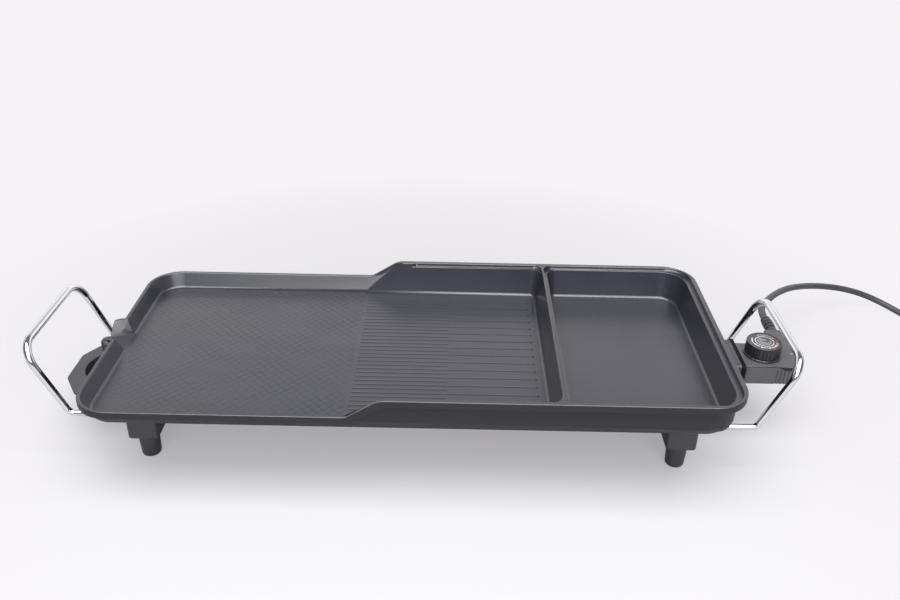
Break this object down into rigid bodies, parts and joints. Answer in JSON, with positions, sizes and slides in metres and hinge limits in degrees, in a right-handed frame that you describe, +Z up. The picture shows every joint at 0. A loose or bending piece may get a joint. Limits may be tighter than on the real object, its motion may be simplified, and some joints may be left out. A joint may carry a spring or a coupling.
{
  "type": "electric fish roaster",
  "caption": "Long electric table grill with a ribbed griddle, a raised deep compartment, wire handles, a pull-out grease tray and a plug-in dial controller on a cord.",
  "frame": {"origin": "under the middle of the box that holds the roaster without its free cord, on the table top", "axes": "+X towards the plug-in controller, +Y away from the user, +Z up"},
  "size_m": [1.229, 0.45, 0.138],
  "materials": {
    "nonstick": "cast aluminium under a dark grey non-stick coating, satin",
    "element_steel": "sheathed tube, heat-dulled",
    "contact_brass": "bare, dull",
    "bright_steel": "zinc plated",
    "bakelite": "moulded black phenolic, satin",
    "chrome_wire": "bright chrome plate",
    "runner_plastic": "moulded black plastic",
    "tray_plastic": "moulded dark grey plastic, satin",
    "case_plastic": "moulded dark grey plastic, fine grain",
    "stat_ceramic": "moulded heat-resistant body",
    "cord_rubber": "round rubber-sheathed lead",
    "pin_nickel": "nickel plated",
    "knob_plastic": "moulded black plastic, satin",
    "disc_print": "printed disc, plain numbers"
  },
  "bodies": {
    "grill": {"pan": "nonstick", "heating_element": "element_steel", "terminal_pins": "contact_brass", "element_clips": "bright_steel", "clip_screws": "bright_steel", "socket_housing": "bakelite", "socket_screws": "bright_steel", "foot_front_left": "bakelite", "foot_rear_left": "bakelite", "foot_front_right": "bakelite", "foot_rear_right": "bakelite", "foot_screws": "bright_steel", "handle_left": "chrome_wire", "handle_right": "chrome_wire", "runner_front": "runner_plastic", "runner_rear": "runner_plastic", "runner_screws": "bright_steel"},
    "tray": {"drip_tray": "tray_plastic"},
    "controller": {"controller_base": "case_plastic", "controller_cover": "case_plastic", "controller_screws": "bright_steel", "nose_plate": "bakelite", "contact_sleeves": "contact_brass", "probe_rod": "bright_steel", "thermostat": "stat_ceramic", "contact_blades": "contact_brass", "cord_relief": "cord_rubber", "cord": "cord_rubber", "cord_coil": "cord_rubber", "plug_body": "cord_rubber", "plug_pins": "pin_nickel"},
    "dial": {"dial_shaft": "bright_steel", "dial_knob": "knob_plastic", "dial_disc": "disc_print"}
  },
  "joints": [
    {"name": "controller_pull", "type": "slide", "parent": "grill", "child": "controller", "axis": [1, 0, 0], "range_m": [0, 0.08]},
    {"name": "dial_turn", "type": "hinge", "parent": "controller", "child": "dial", "pos_m": [0.383, 0.001, 0.1], "axis": [0, 0, 1], "range_deg": [-270, 0]},
    {"name": "tray_slide", "type": "slide", "parent": "grill", "child": "tray", "axis": [-1, 0, 0], "range_m": [0, 0.06]}
  ]
}
